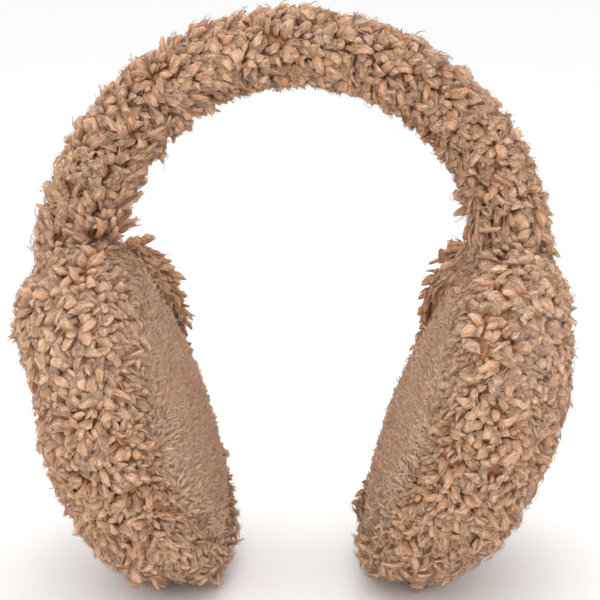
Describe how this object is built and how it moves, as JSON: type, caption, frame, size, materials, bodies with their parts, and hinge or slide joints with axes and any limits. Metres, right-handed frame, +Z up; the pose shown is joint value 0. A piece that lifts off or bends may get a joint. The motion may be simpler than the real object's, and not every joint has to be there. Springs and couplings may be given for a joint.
{
  "type": "pair of fur earmuffs",
  "caption": "Earmuffs: an arched headband in a padded teddy-fur sleeve, with a deep-fur round ear pad and a short-pile face cushion at each end.",
  "frame": {"origin": "on the surface the muffs stand on, under the middle of their outline", "axes": "+Z up from the pads to the arch, X from ear to ear with the left pad of the front view on -X, +Y from the front to the back of the head space"},
  "size_m": [0.1986, 0.1392, 0.2082],
  "materials": {
    "teddy_fur": "deep curly pile in soft tapered locks, matt with a faint sheen",
    "fleece_face": "short clipped pile, matt"
  },
  "bodies": {
    "root": {"headband": "teddy_fur", "left_pad_shell": "teddy_fur", "left_pad_face": "fleece_face", "right_pad_shell": "teddy_fur", "right_pad_face": "fleece_face"}
  },
  "joints": []
}
